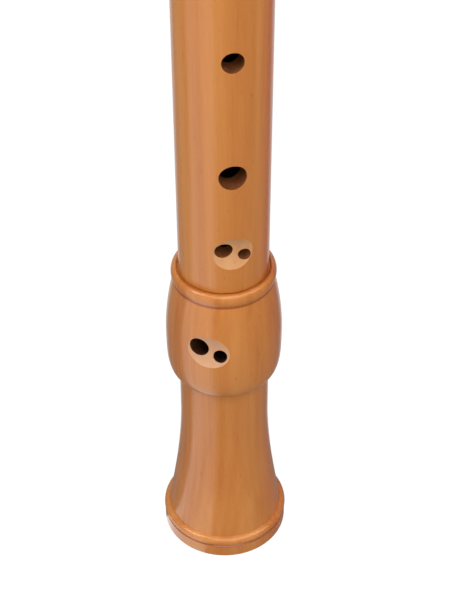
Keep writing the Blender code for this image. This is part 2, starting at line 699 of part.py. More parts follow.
def main():
    for item in list(bpy.data.objects):
        bpy.data.objects.remove(item, do_unlink=True)
    pearwood = wood("oiled_pearwood", (0.50, 0.23, 0.08), 0.38)
    cedar = wood("bare_cedar", (0.52, 0.25, 0.14), 0.70)
    lapping = wood("lapping_cork", (0.50, 0.33, 0.19), 0.90)

    foot = make_foot(pearwood)
    middle = make_middle(pearwood)
    lower_cork = make_cork(
        "lower_cork", LOWER_REBATE_RADIUS, LOWER_CORK_LENGTH,
        -LOWER_TENON_ROOT - CLEARANCE - LOWER_CORK_LENGTH, middle, lapping,
    )
    upper_cork = make_cork(
        "upper_cork", UPPER_REBATE_RADIUS, UPPER_CORK_LENGTH,
        MIDDLE_LENGTH + UPPER_TENON_ROOT + CLEARANCE, middle, lapping,
    )
    head = make_head(pearwood)
    block = make_block(head, cedar)
    beak = beak_cutter()
    cut(head, beak)
    cut(block, beak)
    finish([foot, middle, lower_cork, upper_cork, head, block])


main()
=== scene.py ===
"""Looks of the alto recorder: turned pearwood joints, a cedar block and cork lappings.

Sizes are in metres and repeat those of the solids. Every piece is modelled where it stands.
"""
import math

import bmesh
import bpy
from mathutils import Matrix, Vector


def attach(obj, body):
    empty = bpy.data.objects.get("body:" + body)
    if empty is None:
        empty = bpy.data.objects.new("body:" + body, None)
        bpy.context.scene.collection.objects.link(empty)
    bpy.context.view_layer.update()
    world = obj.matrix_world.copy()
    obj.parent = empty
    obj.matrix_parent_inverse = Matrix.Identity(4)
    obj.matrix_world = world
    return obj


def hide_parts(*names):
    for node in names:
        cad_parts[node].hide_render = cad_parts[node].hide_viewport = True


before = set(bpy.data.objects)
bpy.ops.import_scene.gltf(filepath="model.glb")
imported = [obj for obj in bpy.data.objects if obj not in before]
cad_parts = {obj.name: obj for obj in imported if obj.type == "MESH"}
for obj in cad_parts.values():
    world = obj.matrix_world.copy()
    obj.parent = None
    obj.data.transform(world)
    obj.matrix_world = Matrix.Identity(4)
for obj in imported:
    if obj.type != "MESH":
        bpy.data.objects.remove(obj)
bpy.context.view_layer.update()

# Bore and fits
CLEARANCE = 0.0003
FOOT_BORE_END_RADIUS = 0.0073
FOOT_BORE_TOP_RADIUS = 0.0076
MIDDLE_BORE_LOWER_RADIUS = 0.00775
MIDDLE_BORE_UPPER_RADIUS = 0.0096
HEAD_BORE_RADIUS = 0.0099

# Foot joint
BAND_HEIGHT = 0.0048
BAND_ROUND = 0.0005
END_GROOVE_WIDTH = 0.0006
END_GROOVE_DEPTH = 0.0007
END_BEAD_HEIGHT = 0.0029
END_BEAD_CREST = 0.0009
FLARE_LENGTH = 0.0449
NECK_LENGTH = 0.0193
FOOT_BARREL_END_LENGTH = 0.0160
FOOT_BARREL_RISE_LENGTH = 0.0211
BORE_MOUTH_CHAMFER = 0.0008
BAND_STEP = 0.00015
END_BEAD_PROUD = 0.00175
FLARE_END_RADIUS = 0.01927
NECK_RADIUS = 0.0144
FOOT_BARREL_RADIUS = 0.01845
RIM_BEAD_HEIGHT = 0.0045
RIM_BEAD_PROUD = 0.00242
RIM_GROOVE_DEPTH = 0.0005
RIM_GROOVE_ANGLE = -75
RIM_SEAT_DEPTH = 0.00065
FLARE_POWER = 1.69
BARREL_RISE_POWER = 1.81
BARREL_END_POWER = 3.5

# Middle joint and its tenons
MIDDLE_LENGTH = 0.2162
LOWER_WALL = 0.00625
UPPER_WALL = 0.00507
SHOULDER_CHAMFER = 0.0002
LOWER_TENON_END = 0.0026
LOWER_CORK_LENGTH = 0.0088
LOWER_TENON_ROOT = 0.0030
LOWER_TENON_WALL = 0.0022
UPPER_TENON_END = 0.0032
UPPER_CORK_LENGTH = 0.0180
UPPER_TENON_ROOT = 0.0042
UPPER_TENON_WALL = 0.0016
TENON_CHAMFER = 0.0006
CORK_THICKNESS = 0.0009
CORK_ROUND = 0.0003
LAND_STEP = 0.0003

# Finger holes: distance from the nearer shoulder of the middle joint, and radius
HOLE_1_DROP = 0.0295
HOLE_1_RADIUS = 0.0030
HOLE_2_DROP = 0.0630
HOLE_2_RADIUS = 0.0033
HOLE_3_DROP = 0.0970
HOLE_3_RADIUS = 0.0034
THUMB_HOLE_DROP = 0.0210
THUMB_HOLE_RADIUS = 0.0033
HOLE_4_RISE = 0.0817
HOLE_4_RADIUS = 0.00325
HOLE_5_RISE = 0.0433
HOLE_5_RADIUS = 0.00415
HOLE_6_RISE = 0.0150
HOLE_6_TURN = math.radians(2.3)
HOLE_6_LARGE_RADIUS = 0.00272
HOLE_6_SMALL_RADIUS = 0.00188
HOLE_6_BRIDGE = 0.0020
HOLE_7_DROP = 0.0062
HOLE_7_LARGE_RADIUS = 0.0030
HOLE_7_SMALL_RADIUS = 0.0022
HOLE_7_BRIDGE = 0.0019
HOLE_7_SLANT = math.radians(28)
PAIR_TILT = math.radians(21)
FOOT_TURN = math.radians(26.5)
HOLLOW_6_LIFT = 0.0002
HOLLOW_6_TURN = math.radians(-1.8)
HOLLOW_6_DEPTH = 0.00137
HOLLOW_6_DRUM_RADIUS = 0.0131
HOLLOW_6_TILT = math.radians(-1.5)
HOLLOW_7_LIFT = 0.0014
HOLLOW_7_TURN = math.radians(-1.3)
HOLLOW_7_DEPTH = 0.00125
HOLLOW_7_DRUM_RADIUS = 0.0169
HOLLOW_7_TILT = math.radians(3)

# Head joint, block and voicing
HEAD_BARREL_RISE_LENGTH = 0.0177
HEAD_BARREL_END_LENGTH = 0.0130
HEAD_BODY_LENGTH = 0.1300
HEAD_WAIST_LENGTH = 0.0380
HEAD_BARREL_RADIUS = 0.0181
HEAD_WALL = 0.0060
HEAD_WAIST_WALL = 0.0051
TIP_TAPER = 0.0015
TIP_ROUND = 0.0020
BEAK_LENGTH = 0.0450
BEAK_TIP_THICKNESS = 0.0125
BEAK_CURVE_RADIUS = 0.0560
BLOCK_LENGTH = 0.0600
BLOCK_TAPER = 0.00025
BLOCK_CHAMFER = 0.0005
WINDWAY_EXIT_WIDTH = 0.0115
WINDWAY_MOUTH_WIDTH = 0.0134
WINDWAY_EXIT_HEIGHT = 0.0009
WINDWAY_MOUTH_HEIGHT = 0.0014
WINDWAY_FLOOR_DEPTH = 0.0003
FLOOR_CHAMFER = 0.0007
ROOF_CHAMFER = 0.0004
WINDOW_LENGTH = 0.0042
LABIUM_EDGE = 0.00035
RAMP_LENGTH = 0.0220
RAMP_CROWN_RADIUS = 0.0300
OVERCUT = 0.0010

# Fineness of the turned surfaces and of what is cut into them
TURNING_SEGMENTS = 144
HOLE_SEGMENTS = 64
RECESS_SEGMENTS = 256
BEAK_SEGMENTS = 320
ARC_SEGMENTS = 24
CURVE_STEPS = 22
BEAD_STEPS = 12
MERGE_DISTANCE = 1e-6
CRUMB = 0.00002  # edges shorter than this are cleared away before a cut's rims are softened
BORE_MARGIN = 0.00005
TURNED_EDGE = 0.00012  # sanding leaves the lathe's corners this soft
HOLE_EDGE = 0.00028  # and the rims of the finger holes this soft
SOFT_ANGLE = math.radians(11)
CORNER_ANGLE = math.radians(30)
SHARP_ANGLE = math.radians(38)

# Places that follow
END_GROOVE_Z = BAND_HEIGHT
END_GROOVE_MIDDLE_Z = END_GROOVE_Z + END_GROOVE_WIDTH / 2
END_BEAD_Z = END_GROOVE_Z + END_GROOVE_WIDTH
FLARE_Z = END_BEAD_Z + END_BEAD_HEIGHT
NECK_Z = FLARE_Z + FLARE_LENGTH
FOOT_BARREL_Z = NECK_Z + NECK_LENGTH
FOOT_SWELL_Z = FOOT_BARREL_Z + FOOT_BARREL_END_LENGTH
FOOT_RIM_Z = FOOT_SWELL_Z + FOOT_BARREL_RISE_LENGTH
FOOT_SEAT_Z = FOOT_RIM_Z + RIM_BEAD_HEIGHT - RIM_SEAT_DEPTH
LOWER_REBATE_RADIUS = MIDDLE_BORE_LOWER_RADIUS + LOWER_TENON_WALL
FOOT_SOCKET_RADIUS = LOWER_REBATE_RADIUS + CORK_THICKNESS + 2 * CLEARANCE
LOWER_TENON_LENGTH = LOWER_TENON_END + LOWER_CORK_LENGTH + 2 * CLEARANCE + LOWER_TENON_ROOT
FOOT_SOCKET_FLOOR_Z = FOOT_SEAT_Z - LOWER_TENON_LENGTH
UPPER_REBATE_RADIUS = MIDDLE_BORE_UPPER_RADIUS + UPPER_TENON_WALL
HEAD_SOCKET_RADIUS = UPPER_REBATE_RADIUS + CORK_THICKNESS + 2 * CLEARANCE
UPPER_TENON_LENGTH = UPPER_TENON_END + UPPER_CORK_LENGTH + 2 * CLEARANCE + UPPER_TENON_ROOT
TUBE_LOWER_RADIUS = MIDDLE_BORE_LOWER_RADIUS + LOWER_WALL
TUBE_UPPER_RADIUS = MIDDLE_BORE_UPPER_RADIUS + UPPER_WALL
MIDDLE_Z = FOOT_SEAT_Z + CLEARANCE
MIDDLE_TOP_Z = MIDDLE_Z + MIDDLE_LENGTH
HEAD_SEAT_Z = MIDDLE_TOP_Z + CLEARANCE
HEAD_RADIUS = HEAD_BORE_RADIUS + HEAD_WALL
HEAD_WAIST_RADIUS = HEAD_BORE_RADIUS + HEAD_WAIST_WALL
TIP_RADIUS = HEAD_RADIUS - TIP_TAPER
HEAD_CREST_Z = HEAD_SEAT_Z + RIM_BEAD_HEIGHT - RIM_SEAT_DEPTH
HEAD_SWELL_Z = HEAD_CREST_Z + HEAD_BARREL_RISE_LENGTH
HEAD_WAIST_Z = HEAD_SWELL_Z + HEAD_BARREL_END_LENGTH
HEAD_BODY_Z = HEAD_WAIST_Z + HEAD_WAIST_LENGTH
TIP_Z = HEAD_WAIST_Z + HEAD_BODY_LENGTH
BLOCK_LINE_Z = TIP_Z - BLOCK_LENGTH
LABIUM_Z = BLOCK_LINE_Z - WINDOW_LENGTH
BORE_TIP_RADIUS = HEAD_BORE_RADIUS + BLOCK_TAPER
BORE_WALL_RADIUS = BORE_TIP_RADIUS + BORE_MARGIN  # what lies within this is bore

# Camera, from the photograph's perspective
CAMERA_SIDE_ANGLE = math.radians(-11.5)
CAMERA_DISTANCE = 0.37883
CAMERA_HEIGHT = 0.43039
CAMERA_PITCH = math.radians(41.165)
CAMERA_YAW = math.radians(-0.057)
CAMERA_ROLL = math.radians(-0.258)
CAMERA_LENS = 96.19

# Colours of the wood: places on its ramp, and the colour at each
PEAR_STOPS = ((0.2, "#a85c26"), (0.42, "#bf7534"), (0.6, "#c98342"), (0.85, "#d59455"))
FRESH_STOPS = ((0.2, "#b67a4a"), (0.42, "#c38a58"), (0.6, "#cc9663"), (0.85, "#d6a475"))
PALE_STOPS = ((0.2, "#bc8560"), (0.42, "#c8946e"), (0.6, "#cf9f79"), (0.85, "#d8ad88"))
# the bore is painted nearly black, partly the oil's darkening and partly painted shade of its inside
BORE_STOPS = ((0.3, "#2a1409"), (0.7, "#3c1d0e"))
DRILLED_STOPS = ((0.3, "#643619"), (0.7, "#7c4826"))
# the slanted holes are painted darker than the straight ones, as painted shade of their insides
SLANT_STOPS = ((0.3, "#40220f"), (0.7, "#56311a"))
CEDAR_STOPS = ((0.15, "#b97852"), (0.55, "#c68a62"), (0.95, "#a8623f"))
CORK_STOPS = ((0.0, "#c79a6b"), (0.8, "#a97a4c"))
LENTICEL_COLOUR = "#6b4426"
FLECK_TINT = "#9a5b30"

# Growth and finish of the pear, and the shade painted on it
RING_SCALE = 110.0
RING_DRAW = 0.07  # how slowly the rings change along the fibres
# painted shade: the wood is painted darker and redder towards this side, the camera's right
SHADED_SIDE_DIRECTION = (0.97, 0.24, 0.0)
SIDE_SHADE_START = 0.008  # how far towards that side the painted shade begins
SIDE_SHADE_FULL = 0.016  # and where it is at its full strength
SIDE_SHADE_WANDER = 0.008
SIDE_SHADE_TINT = "#e8a070"
# painted shade: the wood is darkened along the turned grooves and seams
GROOVE_SHADE_CORE = 0.0001  # half height of a groove's darkest line
GROOVE_SHADE_EDGE = 0.0006  # and how far from the groove the painted shade fades out
GROOVE_SHADE_STRENGTH = 0.8
GROOVE_SHADE_TINT = "#c49068"
OILED_ROUGHNESS = (0.20, 0.28)
BARE_ROUGHNESS = (0.62, 0.78)
WOOD_IOR = 1.5

# Billets: where the tree's heart lay from each joint's foot, and how far the fibres lean
MIDDLE_HEART = (0.021, 0.034, 0.0)
MIDDLE_LEAN = (0.012, 0.008)
FOOT_HEART = (-0.030, 0.026, 0.31)
FOOT_LEAN = (-0.010, 0.014)
HEAD_HEART = (0.015, -0.040, 0.77)
HEAD_LEAN = (0.010, -0.012)

# Stage
FLOOR_SIZE = 6.0
FLOOR_PAINT = "#b8b8b8"
SEEN_FLOOR = 1.12  # strength of the floor's white to the camera
SEEN_SHARE = 0.88  # share of that white, and the rest is paint that keeps the shadow
MIRRORED_FLOOR = 0.28  # strength of the floor's glow seen only in the wood's gloss, a painted reflection, away from its brighter patches
GLOSS_GLOW_PATCHES = (
    (math.radians(-63), math.radians(33), math.radians(29), 1.3),
    (math.radians(168), math.radians(46), math.radians(32), 0.6),
)  # each brighter patch of that painted reflection: its side from the front, its half width where it fades out and where it is full, its strength
AMBIENT_WHITE = 0.16  # strength of the surround's light on the recorder
SEEN_WHITE = 1.0
MIRRORED_SHARE = 0.4  # how far the gloss sees the surround as the camera does

# Softboxes: name, side and height in degrees, distance, width, height and power
LAMP_TARGET = (0, 0, 0.15)
SOFTBOXES = (
    ("front_softbox", -2, 42, 0.90, 0.9, 0.9, 6.4),
    ("left_softbox", -73, 40, 0.75, 0.3, 0.6, 3.4),
    ("right_softbox", 55, 40, 0.85, 0.3, 0.6, 2.4),
    ("top_softbox", 10, 75, 1.3, 0.9, 0.9, 1.5),
    ("back_softbox", 172, 30, 1.4, 0.9, 0.9, 2.4),
)


def lerp(a, b, t):
    """Straight mix of two values."""
    return a + (b - a) * t


def linear(code):
    """Linear colour of an sRGB hex value."""
    shares = [int(code[i:i + 2], 16) / 255 for i in (1, 3, 5)]
    return [s / 12.92 if s <= 0.04045 else ((s + 0.055) / 1.055) ** 2.4 for s in shares] + [1.0]


def add_node(tree, kind, settings=None, inputs=None):
    """Add one node, with its settings, and with a value or a link for each input named."""
    node = tree.nodes.new(kind)
    for key, value in (settings or {}).items():
        setattr(node, key, value)
    for key, value in (inputs or {}).items():
        if isinstance(value, bpy.types.NodeSocket):
            tree.links.new(value, node.inputs[key])
        else:
            node.inputs[key].default_value = value
    return node


def new_material(name):
    """Empty material with its output, and the shader that its maker fills in."""
    material = bpy.data.materials.new(name)
    material.use_nodes = True
    tree = material.node_tree
    tree.nodes.clear()
    shader = add_node(tree, "ShaderNodeBsdfPrincipled")
    add_node(tree, "ShaderNodeOutputMaterial", inputs={"Surface": shader.outputs[0]})
    return material, tree, shader


def grain_noise(tree, place, width_mm, length_mm, detail):
    """Noise drawn out along the fibres, of a real width and length in millimetres."""
    drawn = add_node(tree, "ShaderNodeVectorMath", {"operation": "MULTIPLY"}, {
        0: place, 1: (1000 / width_mm, 1000 / width_mm, 1000 / length_mm),
    })
    return add_node(tree, "ShaderNodeTexNoise", inputs={
        "Vector": drawn.outputs[0], "Scale": 1.0, "Detail": detail, "Roughness": 0.55,
    }).outputs["Fac"]


def wood_ramp(tree, value, stops):
    """Colours of the wood over a value from 0 to 1."""
    ramp = add_node(tree, "ShaderNodeValToRGB", inputs={"Fac": value})
    elements = ramp.color_ramp.elements
    while len(elements) < len(stops):
        elements.new(0.5)
    for element, (position, code) in zip(elements, stops):
        element.position = position
        element.color = linear(code)
    return ramp.outputs["Color"]


def pearwood(name, heart, lean, stops, grooves=(), side_shade_strength=0.4, oiled=True):
    """Steamed pear, turned, sanded and oiled: a close even grain that gives a satin surface.

    heart is where the tree's pith lay, from the bore's axis, and lean is the fibres' tilt. grooves are
    the heights of turned grooves and seams, where the wood is darkened as painted shade. The last
    argument is how much darker and redder the wood is painted towards its +X side, as painted shade of
    that side.
    """
    material, tree, shader = new_material(name)
    place = add_node(tree, "ShaderNodeTexCoord").outputs["Object"]
    billet = add_node(tree, "ShaderNodeMapping", inputs={
        "Vector": place, "Location": (-heart[0], -heart[1], heart[2]), "Rotation": (*lean, 0.0),
    }).outputs[0]
    rings_place = add_node(tree, "ShaderNodeVectorMath", {"operation": "MULTIPLY"}, {
        0: billet, 1: (1.0, 1.0, RING_DRAW),
    })
    rings = add_node(tree, "ShaderNodeTexWave", {"wave_type": "RINGS", "rings_direction": "Z"}, {
        "Vector": rings_place.outputs[0], "Scale": RING_SCALE, "Distortion": 5.0, "Detail": 2.0,
        "Detail Scale": 0.9, "Detail Roughness": 0.5,
    }).outputs["Fac"]
    figure = grain_noise(tree, billet, 11.0, 300.0, 1.0)
    streaks = grain_noise(tree, billet, 2.2, 110.0, 2.0)
    fibres = grain_noise(tree, billet, 0.45, 9.0, 2.0)
    flecks = grain_noise(tree, billet, 0.7, 3.2, 1.0)

    # painted shade: darker and redder towards one side of the piece
    across = add_node(tree, "ShaderNodeVectorMath", {"operation": "DOT_PRODUCT"}, {
        0: place, 1: SHADED_SIDE_DIRECTION,
    })
    uneven = add_node(tree, "ShaderNodeMath", {"operation": "MULTIPLY_ADD"}, {
        0: figure, 1: SIDE_SHADE_WANDER, 2: across.outputs["Value"],
    })
    side_shade = add_node(tree, "ShaderNodeMapRange", {"interpolation_type": "SMOOTHSTEP"}, {
        "Value": uneven.outputs[0], "From Min": SIDE_SHADE_START, "From Max": SIDE_SHADE_FULL,
        "To Min": 0.0, "To Max": side_shade_strength,
    })

    tone = None
    for value, share in ((rings, 0.04), (figure, 0.70), (streaks, 0.22), (fibres, 0.13)):
        centred = add_node(tree, "ShaderNodeMath", {"operation": "SUBTRACT"}, {0: value, 1: 0.5})
        tone = add_node(tree, "ShaderNodeMath", {"operation": "MULTIPLY_ADD"}, {
            0: centred.outputs[0], 1: share, 2: 0.5 if tone is None else tone,
        }).outputs[0]
    colour = wood_ramp(tree, tone, stops)
    fleck = add_node(tree, "ShaderNodeMapRange", inputs={
        "Value": flecks, "From Min": 0.71, "From Max": 0.82, "To Min": 0.0, "To Max": 0.35,
    })
    flecked = add_node(tree, "ShaderNodeMix", {"data_type": "RGBA", "blend_type": "MULTIPLY"}, {
        0: fleck.outputs[0], 6: colour, 7: linear(FLECK_TINT),
    })
    side_shaded = add_node(tree, "ShaderNodeMix", {"data_type": "RGBA", "blend_type": "MULTIPLY"}, {
        0: side_shade.outputs[0], 6: flecked.outputs[2], 7: linear(SIDE_SHADE_TINT),
    })
    colour = side_shaded.outputs[2]
    height = add_node(tree, "ShaderNodeSeparateXYZ", inputs={"Vector": place}).outputs["Z"]
    # painted shade along each groove and seam: the wood is darkened there
    for groove_z in grooves:
        off = add_node(tree, "ShaderNodeMath", {"operation": "SUBTRACT"}, {0: height, 1: groove_z})
        away = add_node(tree, "ShaderNodeMath", {"operation": "ABSOLUTE"}, {0: off.outputs[0]})
        groove_shade = add_node(tree, "ShaderNodeMapRange", {"interpolation_type": "SMOOTHSTEP"}, {
            "Value": away.outputs[0], "From Min": GROOVE_SHADE_CORE, "From Max": GROOVE_SHADE_EDGE,
            "To Min": GROOVE_SHADE_STRENGTH, "To Max": 0.0,
        })
        colour = add_node(tree, "ShaderNodeMix", {"data_type": "RGBA", "blend_type": "MULTIPLY"}, {
            0: groove_shade.outputs[0], 6: colour, 7: linear(GROOVE_SHADE_TINT),
        }).outputs[2]
    smoothest, roughest = OILED_ROUGHNESS if oiled else BARE_ROUGHNESS
    gloss = add_node(tree, "ShaderNodeMapRange", inputs={
        "Value": streaks, "To Min": smoothest, "To Max": roughest,
    })
    pores = add_node(tree, "ShaderNodeBump", inputs={
        "Height": fibres, "Strength": 0.25, "Distance": 0.00006,
    })
    tree.links.new(colour, shader.inputs["Base Color"])
    tree.links.new(gloss.outputs[0], shader.inputs["Roughness"])
    tree.links.new(pores.outputs[0], shader.inputs["Normal"])
    shader.inputs["IOR"].default_value = WOOD_IOR
    return material


def bore_wood(name, stops):
    """Pear inside the bore and the holes: soaked with linseed oil, so darker and smoother; the darker
    stops also stand for painted shade inside the bore and the slanted holes.
    """
    material, tree, shader = new_material(name)
    place = add_node(tree, "ShaderNodeTexCoord").outputs["Object"]
    streaks = grain_noise(tree, place, 1.0, 30.0, 2.0)
    colour = wood_ramp(tree, streaks, stops)
    tree.links.new(colour, shader.inputs["Base Color"])
    shader.inputs["Roughness"].default_value = 0.45
    shader.inputs["IOR"].default_value = WOOD_IOR
    return material


def cedar():
    """Red cedar of the block, planed and left bare: straight rings and a dry matte surface."""
    material, tree, shader = new_material("planed_cedar")
    place = add_node(tree, "ShaderNodeTexCoord").outputs["Object"]
    rings = add_node(tree, "ShaderNodeTexWave", {"bands_direction": "X"}, {
        "Vector": place, "Scale": 260.0, "Distortion": 1.2, "Detail": 2.0, "Detail Scale": 0.4,
    }).outputs["Fac"]
    fibres = grain_noise(tree, place, 0.4, 8.0, 2.0)
    tone = add_node(tree, "ShaderNodeMath", {"operation": "MULTIPLY_ADD"}, {
        0: fibres, 1: 0.6, 2: -0.05,
    })
    mixed = add_node(tree, "ShaderNodeMath", {"operation": "MULTIPLY_ADD"}, {
        0: rings, 1: 0.45, 2: tone.outputs[0],
    })
    colour = wood_ramp(tree, mixed.outputs[0], CEDAR_STOPS)
    pores = add_node(tree, "ShaderNodeBump", inputs={
        "Height": fibres, "Strength": 0.3, "Distance": 0.00008,
    })
    tree.links.new(colour, shader.inputs["Base Color"])
    tree.links.new(pores.outputs[0], shader.inputs["Normal"])
    shader.inputs["Roughness"].default_value = 0.72
    shader.inputs["IOR"].default_value = WOOD_IOR
    return material


def cork():
    """Sheet cork of the lappings, sanded round and greased: soft granules with dark lenticels."""
    material, tree, shader = new_material("sanded_cork")
    place = add_node(tree, "ShaderNodeTexCoord").outputs["Object"]
    granules = add_node(tree, "ShaderNodeTexVoronoi", inputs={"Vector": place, "Scale": 800.0})
    specks = grain_noise(tree, place, 1.1, 1.1, 3.0)
    speck = add_node(tree, "ShaderNodeMapRange", inputs={
        "Value": specks, "From Min": 0.56, "From Max": 0.66, "To Min": 0.0, "To Max": 0.8,
    })
    colour = wood_ramp(tree, granules.outputs["Distance"], CORK_STOPS)
    specked = add_node(tree, "ShaderNodeMix", {"data_type": "RGBA"}, {
        0: speck.outputs[0], 6: colour, 7: linear(LENTICEL_COLOUR),
    })
    dents = add_node(tree, "ShaderNodeBump", inputs={
        "Height": granules.outputs["Distance"], "Strength": 0.5, "Distance": 0.00012,
    })
    tree.links.new(specked.outputs[2], shader.inputs["Base Color"])
    tree.links.new(dents.outputs[0], shader.inputs["Normal"])
    shader.inputs["Roughness"].default_value = 0.8
    return material


def curve_steps():
    """Values from 0 to 1 that crowd towards 1, as along a quarter circle."""
    return [math.sin(math.pi / 2 * i / CURVE_STEPS) for i in range(CURVE_STEPS + 1)]


def round_off(centre_radius, centre_z, width, height, start, end):
    """Points of an elliptical arc between two angles, without the point that it starts from."""
    points = []
    for i in range(1, BEAD_STEPS + 1):
        angle = math.radians(lerp(start, end, i / BEAD_STEPS))
        points.append((centre_radius + width * math.cos(angle), centre_z + height * math.sin(angle)))
    return points


def barrel_rise(rim_radius, swell_radius, rim_z, swell_z):
    """Outline from the groove at the rim out to the barrel's widest ring."""
    points = []
    for i in range(CURVE_STEPS):
        t = i / CURVE_STEPS
        radius = swell_radius - (swell_radius - rim_radius) * (1 - t) ** BARREL_RISE_POWER
        points.append((radius, lerp(rim_z, swell_z, t)))
    return points


def barrel_end(swell_radius, neck_radius, swell_z, neck_z):
    """Outline from the widest ring, round the barrel's blunt end, in to the neck."""
    points = []
    for s in curve_steps():
        share = max(0.0, 1 - s ** BARREL_END_POWER) ** (1 / BARREL_END_POWER)
        points.append((lerp(neck_radius, swell_radius, share), lerp(swell_z, neck_z, s)))
    return points


def rim_bead(tube_radius, seat_z, toward):
    """Outline of the round bead at a socket's mouth, from its groove in to the tube and the seat."""
    inner = tube_radius + CLEARANCE
    outer = tube_radius + RIM_BEAD_PROUD
    crest = (inner + outer) / 2
    half_width = (outer - inner) / 2
    height = toward * RIM_BEAD_HEIGHT / 2
    depth = toward * RIM_SEAT_DEPTH
    middle_z = seat_z + depth - height
    points = [(outer - RIM_GROOVE_DEPTH, middle_z - height)]
    points += round_off(crest, middle_z, half_width, height, RIM_GROOVE_ANGLE, 90)
    points += round_off(crest, seat_z, half_width, depth, 90, 180)
    return points


def foot_outline():
    """Closed outline of the foot joint, down the outside and back up the bore."""
    bead_radius = FLARE_END_RADIUS + END_BEAD_PROUD
    band_radius = bead_radius - BAND_STEP
    rim = rim_bead(TUBE_LOWER_RADIUS, FOOT_SEAT_Z, 1)
    outline = list(reversed(rim))
    outline += barrel_rise(rim[0][0], FOOT_BARREL_RADIUS, FOOT_RIM_Z, FOOT_SWELL_Z)[1:]
    outline += barrel_end(FOOT_BARREL_RADIUS, NECK_RADIUS, FOOT_SWELL_Z, FOOT_BARREL_Z)
    for i in range(CURVE_STEPS + 1):
        t = i / CURVE_STEPS
        radius = NECK_RADIUS + (FLARE_END_RADIUS - NECK_RADIUS) * t ** FLARE_POWER
        outline.append((radius, lerp(NECK_Z, FLARE_Z, t)))
    crest_z = END_BEAD_Z + END_BEAD_CREST
    groove_radius = bead_radius - END_GROOVE_DEPTH
    outline += round_off(FLARE_END_RADIUS, crest_z, END_BEAD_PROUD, FLARE_Z - crest_z, 90, 0)
    outline += round_off(groove_radius, crest_z, END_GROOVE_DEPTH, END_BEAD_CREST, 0, -90)
    outline.append((band_radius, END_GROOVE_Z))
    outline.append((band_radius, BAND_ROUND))
    outline.append((band_radius - BAND_ROUND, 0.0))
    outline.append((FOOT_BORE_END_RADIUS + BORE_MOUTH_CHAMFER, 0.0))
    outline.append((FOOT_BORE_END_RADIUS, BORE_MOUTH_CHAMFER))
    outline.append((FOOT_BORE_TOP_RADIUS, FOOT_SOCKET_FLOOR_Z))
    outline.append((FOOT_SOCKET_RADIUS, FOOT_SOCKET_FLOOR_Z))
    outline.append((FOOT_SOCKET_RADIUS, FOOT_SEAT_Z))
    return outline


def tenon_outline(rebate_radius, bore_radius, end_land, cork_length, root_land, shoulder_z, toward):
    """Outline of a tenon with its cork rebate, from the shoulder to the bore."""
    land_radius = rebate_radius + CLEARANCE + CORK_THICKNESS - LAND_STEP
    rebate_start = shoulder_z + toward * root_land
    rebate_end = rebate_start + toward * (cork_length + 2 * CLEARANCE)
    end = rebate_end + toward * end_land
    return [
        (land_radius, shoulder_z),
        (land_radius, rebate_start),
        (rebate_radius, rebate_start),
        (rebate_radius, rebate_end),
        (land_radius, rebate_end),
        (land_radius, end - toward * TENON_CHAMFER),
        (land_radius - TENON_CHAMFER, end),
        (bore_radius, end),
    ]


def middle_outline():
    """Closed outline of the middle joint, up the outside and back down the bore."""
    lower = tenon_outline(
        LOWER_REBATE_RADIUS, MIDDLE_BORE_LOWER_RADIUS,
        LOWER_TENON_END, LOWER_CORK_LENGTH, LOWER_TENON_ROOT, MIDDLE_Z, -1,
    )
    upper = tenon_outline(
        UPPER_REBATE_RADIUS, MIDDLE_BORE_UPPER_RADIUS,
        UPPER_TENON_END, UPPER_CORK_LENGTH, UPPER_TENON_ROOT, MIDDLE_TOP_Z, 1,
    )
    outline = list(reversed(lower))
    outline.append((TUBE_LOWER_RADIUS - SHOULDER_CHAMFER, MIDDLE_Z))
    outline.append((TUBE_LOWER_RADIUS, MIDDLE_Z + SHOULDER_CHAMFER))
    outline.append((TUBE_UPPER_RADIUS, MIDDLE_TOP_Z - SHOULDER_CHAMFER))
    outline.append((TUBE_UPPER_RADIUS - SHOULDER_CHAMFER, MIDDLE_TOP_Z))
    return outline + upper


def head_outline():
    """Closed outline of the head before its beak is cut, up the outside and back down the bore."""
    rim = rim_bead(TUBE_UPPER_RADIUS, HEAD_SEAT_Z, -1)
    outline = list(reversed(rim))
    outline += barrel_rise(rim[0][0], HEAD_BARREL_RADIUS, HEAD_CREST_Z, HEAD_SWELL_Z)[1:]
    outline += barrel_end(HEAD_BARREL_RADIUS, HEAD_WAIST_RADIUS, HEAD_SWELL_Z, HEAD_WAIST_Z)
    for i in range(1, CURVE_STEPS + 1):
        t = i / CURVE_STEPS
        ease = t * t * (3 - 2 * t)
        radius = lerp(HEAD_WAIST_RADIUS, HEAD_RADIUS, ease)
        outline.append((radius, lerp(HEAD_WAIST_Z, HEAD_BODY_Z, t)))
    outline.append((HEAD_RADIUS, TIP_Z - BEAK_LENGTH))
    for i in range(BEAD_STEPS + 1):
        angle = math.pi / 2 * i / BEAD_STEPS
        radius = TIP_RADIUS - TIP_ROUND * (1 - math.cos(angle))
        outline.append((radius, TIP_Z - TIP_ROUND * (1 - math.sin(angle))))
    outline.append((BORE_TIP_RADIUS, TIP_Z))
    outline.append((HEAD_BORE_RADIUS, BLOCK_LINE_Z))
    outline.append((HEAD_BORE_RADIUS, HEAD_SEAT_Z + UPPER_TENON_LENGTH))
    outline.append((HEAD_SOCKET_RADIUS, HEAD_SEAT_Z + UPPER_TENON_LENGTH))
    outline.append((HEAD_SOCKET_RADIUS, HEAD_SEAT_Z))
    return outline


def cork_outline(rebate_radius, lower_z, length):
    """Closed outline of one cork lapping."""
    inner = rebate_radius + CLEARANCE
    outer = inner + CORK_THICKNESS
    return [
        (inner, lower_z),
        (outer - CORK_ROUND, lower_z),
        (outer, lower_z + CORK_ROUND),
        (outer, lower_z + length - CORK_ROUND),
        (outer - CORK_ROUND, lower_z + length),
        (inner, lower_z + length),
    ]


